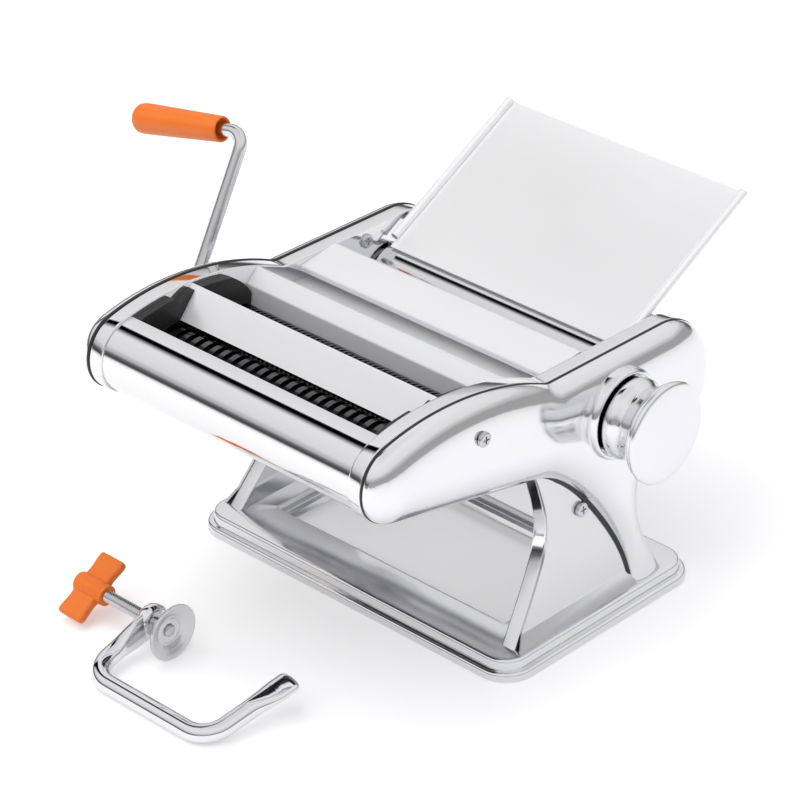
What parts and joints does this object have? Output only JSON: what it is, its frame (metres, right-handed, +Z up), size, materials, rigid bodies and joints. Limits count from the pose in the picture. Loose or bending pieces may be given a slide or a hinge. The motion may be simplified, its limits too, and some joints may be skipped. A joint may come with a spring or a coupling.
{
  "type": "pasta machine",
  "caption": "Hand-cranked table-top pasta machine: smooth rollers with a gap knob, wide and narrow noodle cutters, feed tray, crank and table clamp.",
  "frame": {"origin": "centre of the base, on the surface it stands on", "axes": "+Z up, +X towards the knob side, -Y towards the rounded nose with the cutters"},
  "size_m": [0.3009, 0.3263, 0.1975],
  "materials": {
    "polished": "polished stainless steel",
    "satin": "satin steel",
    "plain_steel": "zinc-plated steel",
    "orange": "orange moulded plastic",
    "black": "black nylon",
    "white": "white nylon",
    "rubber": "black rubber"
  },
  "bodies": {
    "machine": {"base_plate": "polished", "rubber_feet": "rubber", "base_screws": "plain_steel", "side_frame_left": "polished", "side_frame_right": "polished", "side_cover_left": "polished", "side_cover_right": "polished", "leg_panel_left": "polished", "leg_panel_right": "polished", "cover_screws": "plain_steel", "leg_screws": "plain_steel", "inner_screws": "plain_steel", "shaft_bushes": "white", "dial_ring": "polished", "nose_cover": "polished", "guide_plate_middle": "polished", "guide_plate_rear": "polished", "roller_front_cover": "polished", "end_guide_left": "black", "end_guide_right": "black", "wide_comb_rear": "black", "wide_comb_front": "black", "narrow_comb_rear": "black", "narrow_comb_front": "black", "scraper_front": "plain_steel", "scraper_rear": "plain_steel", "tie_rods": "plain_steel", "tray_rest_bar": "plain_steel"},
    "wide_rear": {"wide_cutter_rear": "satin", "wide_gear_rear": "plain_steel"},
    "wide_front": {"wide_cutter_front": "satin", "wide_gear_front": "plain_steel"},
    "narrow_rear": {"narrow_cutter_rear": "satin", "narrow_gear_rear": "plain_steel"},
    "narrow_front": {"narrow_cutter_front": "satin", "narrow_gear_front": "plain_steel"},
    "rear_roller": {"roller_rear": "satin", "roller_gear_rear": "plain_steel"},
    "carrier": {"bearing_block_left": "plain_steel", "bearing_block_right": "plain_steel", "carrier_bar": "plain_steel"},
    "front_roller": {"roller_front": "satin", "roller_gear_front": "plain_steel"},
    "knob_drive": {"knob_shaft": "plain_steel", "spiral_cam": "plain_steel", "knob_spring": "plain_steel"},
    "knob_head": {"knob": "polished", "knob_cap": "satin", "detent_pin": "plain_steel"},
    "tray": {"feed_tray": "polished"},
    "crank": {"crank_rod": "satin", "grip_washer": "plain_steel"},
    "grip": {"crank_grip": "orange"},
    "clamp": {"clamp_rod": "polished"},
    "clamp_drive": {"clamp_screw": "plain_steel", "wing_nut": "orange", "pad_rivet": "plain_steel"},
    "clamp_foot": {"clamp_pad": "polished"}
  },
  "joints": [
    {"name": "wide_turn", "type": "hinge", "parent": "machine", "child": "wide_rear", "pos_m": [0, -0.1045, 0.126], "axis": [1, 0, 0], "continuous": true},
    {"name": "wide_partner", "type": "hinge", "parent": "machine", "child": "wide_front", "pos_m": [0, -0.124, 0.126], "axis": [1, 0, 0], "continuous": true},
    {"name": "narrow_turn", "type": "hinge", "parent": "machine", "child": "narrow_rear", "pos_m": [0, -0.061, 0.12], "axis": [1, 0, 0], "continuous": true},
    {"name": "narrow_partner", "type": "hinge", "parent": "machine", "child": "narrow_front", "pos_m": [0, -0.0799, 0.12], "axis": [1, 0, 0], "continuous": true},
    {"name": "crank_pull", "type": "slide", "parent": "narrow_rear", "child": "crank", "axis": [-1, 0, 0], "range_m": [0, 0.018]},
    {"name": "grip_turn", "type": "hinge", "parent": "crank", "child": "grip", "pos_m": [-0.108, -0.022, 0.194], "axis": [-0.9803, -0.0922, -0.1749], "continuous": true},
    {"name": "roller_turn", "type": "hinge", "parent": "machine", "child": "rear_roller", "pos_m": [0, 0.0413, 0.109], "axis": [1, 0, 0], "continuous": true},
    {"name": "knob_turn", "type": "hinge", "parent": "machine", "child": "knob_drive", "pos_m": [0, 0.0128, 0.109], "axis": [1, 0, 0], "range_deg": [-120.2, 120.2]},
    {"name": "gap_slide", "type": "slide", "parent": "machine", "child": "carrier", "axis": [0, -1, 0], "range_m": [-0.0012, 0.0012]},
    {"name": "roller_partner", "type": "hinge", "parent": "carrier", "child": "front_roller", "pos_m": [0, 0.0128, 0.109], "axis": [1, 0, 0], "continuous": true},
    {"name": "knob_pull", "type": "slide", "parent": "knob_drive", "child": "knob_head", "axis": [1, 0, 0], "range_m": [0, 0.004], "stiffness_N_per_m": 900, "springref_m": -0.004, "deforming": ["knob_spring"]},
    {"name": "tray_lift", "type": "slide", "parent": "machine", "child": "tray", "axis": [0, -0.4756, 0.8796], "range_m": [0, 0.03]},
    {"name": "clamp_lift", "type": "slide", "parent": "machine", "child": "clamp", "axis": [0, 0, 1], "range_m": [0, 0.05]},
    {"name": "clamp_feed", "type": "slide", "parent": "clamp", "child": "clamp_foot", "axis": [1, 0, 0], "range_m": [-0.006, 0.026]},
    {"name": "clamp_turn", "type": "hinge", "parent": "clamp_foot", "child": "clamp_drive", "pos_m": [-0.041, -0.15313, 0.014], "axis": [1, 0, 0], "range_deg": [-2162, 9362]}
  ],
  "couplings": [
    {"joint": "wide_partner", "follows": "wide_turn", "ratio": -1},
    {"joint": "narrow_partner", "follows": "narrow_turn", "ratio": -1},
    {"joint": "roller_partner", "follows": "roller_turn", "ratio": -1},
    {"joint": "knob_turn", "follows": "gap_slide", "rad_per_m": 1745.3},
    {"joint": "clamp_turn", "follows": "clamp_feed", "rad_per_m": 6283.2}
  ]
}
